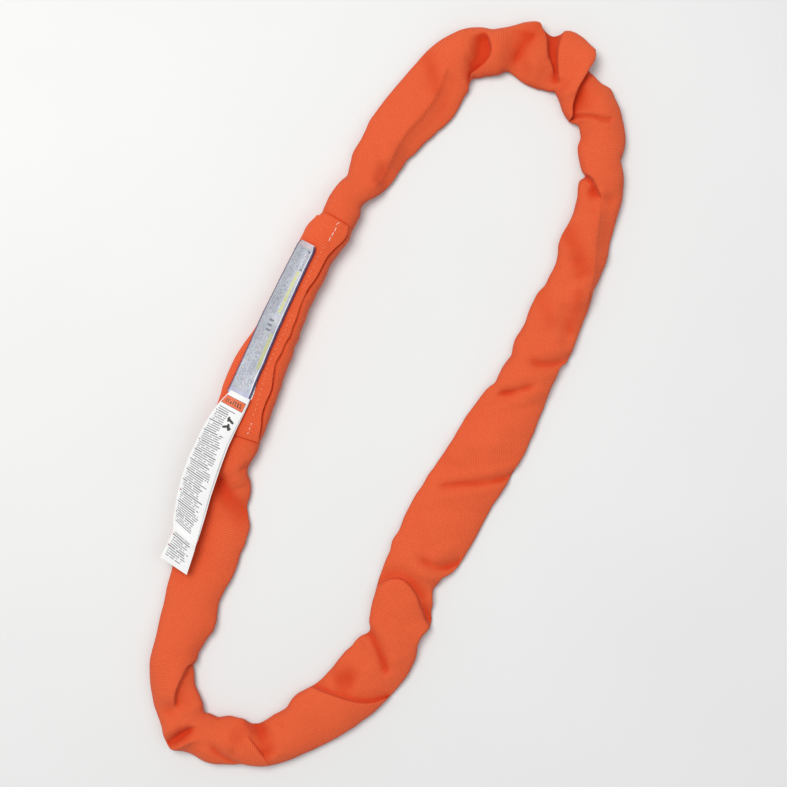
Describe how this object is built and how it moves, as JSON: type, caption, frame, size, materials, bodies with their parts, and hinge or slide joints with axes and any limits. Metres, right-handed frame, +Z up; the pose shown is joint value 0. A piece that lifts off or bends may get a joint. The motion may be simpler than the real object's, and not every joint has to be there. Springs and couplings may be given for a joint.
{
  "type": "endless round sling",
  "caption": "Soft endless lifting sling: a long oval loop of core yarn in woven orange tubular covers, with a sewn sleeve that carries an identification tag and label sheets.",
  "frame": {"origin": "on the floor, under the middle of the loop's overall box", "axes": "+X along the loop's long axis from the lower bight to the upper bight, +Y towards the leg with the tag, +Z up"},
  "size_m": [0.8622, 0.315, 0.033],
  "materials": {
    "cover_web": "woven, matt",
    "inner_web": "woven, matt",
    "core_yarn": "loose twisted yarn",
    "sleeve_web": "woven, matt",
    "splice_tape": "matt tape",
    "pale_thread": "thread",
    "violet_thread": "overlocked thread",
    "tag_backing": "matt film",
    "tag_film": "satin film",
    "clear_window": "clear, glossy",
    "label_stock": "matt synthetic sheet"
  },
  "bodies": {
    "tag_section": {"outer_cover_tag_leg": "cover_web", "outer_cover_plain_leg": "cover_web", "inner_cover_tag_leg": "inner_web", "inner_cover_plain_leg": "inner_web", "core_yarn_tag_leg": "core_yarn", "core_yarn_plain_leg": "core_yarn", "core_splice_tape": "splice_tape", "cover_overlap_end": "cover_web", "cover_join_stitch": "pale_thread", "tag_sleeve": "sleeve_web", "sleeve_seam_stitch": "pale_thread", "sleeve_end_stitch": "pale_thread", "tag_backing": "tag_backing", "id_tag": "tag_film", "tag_window": "clear_window", "tag_edge_stitch": "violet_thread", "label_anchor_tab": "label_stock", "label_anchor_stitch": "pale_thread"},
    "upper_legs_a": {"outer_cover_upper_legs_a": "cover_web", "inner_cover_upper_legs_a": "inner_web", "core_yarn_upper_legs_a": "core_yarn"},
    "upper_legs_b": {"outer_cover_upper_legs_b": "cover_web", "inner_cover_upper_legs_b": "inner_web", "core_yarn_upper_legs_b": "core_yarn"},
    "upper_bight": {"outer_cover_upper_bight": "cover_web", "inner_cover_upper_bight": "inner_web", "core_yarn_upper_bight": "core_yarn"},
    "lower_legs": {"outer_cover_lower_legs": "cover_web", "inner_cover_lower_legs": "inner_web", "core_yarn_lower_legs": "core_yarn"},
    "lower_bight": {"outer_cover_lower_bight": "cover_web", "inner_cover_lower_bight": "inner_web", "core_yarn_lower_bight": "core_yarn"},
    "label_front": {"warning_label_front": "label_stock"},
    "label_back": {"warning_label_back": "label_stock"}
  },
  "joints": [
    {"name": "upper_fold_1", "type": "hinge", "parent": "tag_section", "child": "upper_legs_a", "pos_m": [0.175, 0, 0.0295], "axis": [0, -1, 0], "range_deg": [-8, 50]},
    {"name": "upper_fold_2", "type": "hinge", "parent": "upper_legs_a", "child": "upper_legs_b", "pos_m": [0.235, 0, 0.0295], "axis": [0, -1, 0], "range_deg": [-8, 50]},
    {"name": "upper_fold_3", "type": "hinge", "parent": "upper_legs_b", "child": "upper_bight", "pos_m": [0.295, 0, 0.0295], "axis": [0, -1, 0], "range_deg": [-8, 50]},
    {"name": "lower_fold_1", "type": "hinge", "parent": "tag_section", "child": "lower_legs", "pos_m": [-0.29, 0, 0.0295], "axis": [0, 1, 0], "range_deg": [-8, 60]},
    {"name": "lower_fold_2", "type": "hinge", "parent": "lower_legs", "child": "lower_bight", "pos_m": [-0.345, 0, 0.0295], "axis": [0, 1, 0], "range_deg": [-8, 60]},
    {"name": "label_lift", "type": "hinge", "parent": "tag_section", "child": "label_front", "pos_m": [-0.06927, 0.13797, 0.02779], "axis": [-0.1054, 0.9784, -0.1779], "range_deg": [0, 100]},
    {"name": "label_back_lift", "type": "hinge", "parent": "tag_section", "child": "label_back", "pos_m": [-0.06926, 0.13786, 0.0272], "axis": [-0.1054, 0.9784, -0.1779], "range_deg": [0, 60]}
  ],
  "couplings": [
    {"joint": "upper_fold_2", "follows": "upper_fold_1", "ratio": 1},
    {"joint": "upper_fold_3", "follows": "upper_fold_1", "ratio": 1},
    {"joint": "lower_fold_2", "follows": "lower_fold_1", "ratio": 1},
    {"joint": "label_back_lift", "follows": "label_lift", "ratio": 0.6}
  ]
}
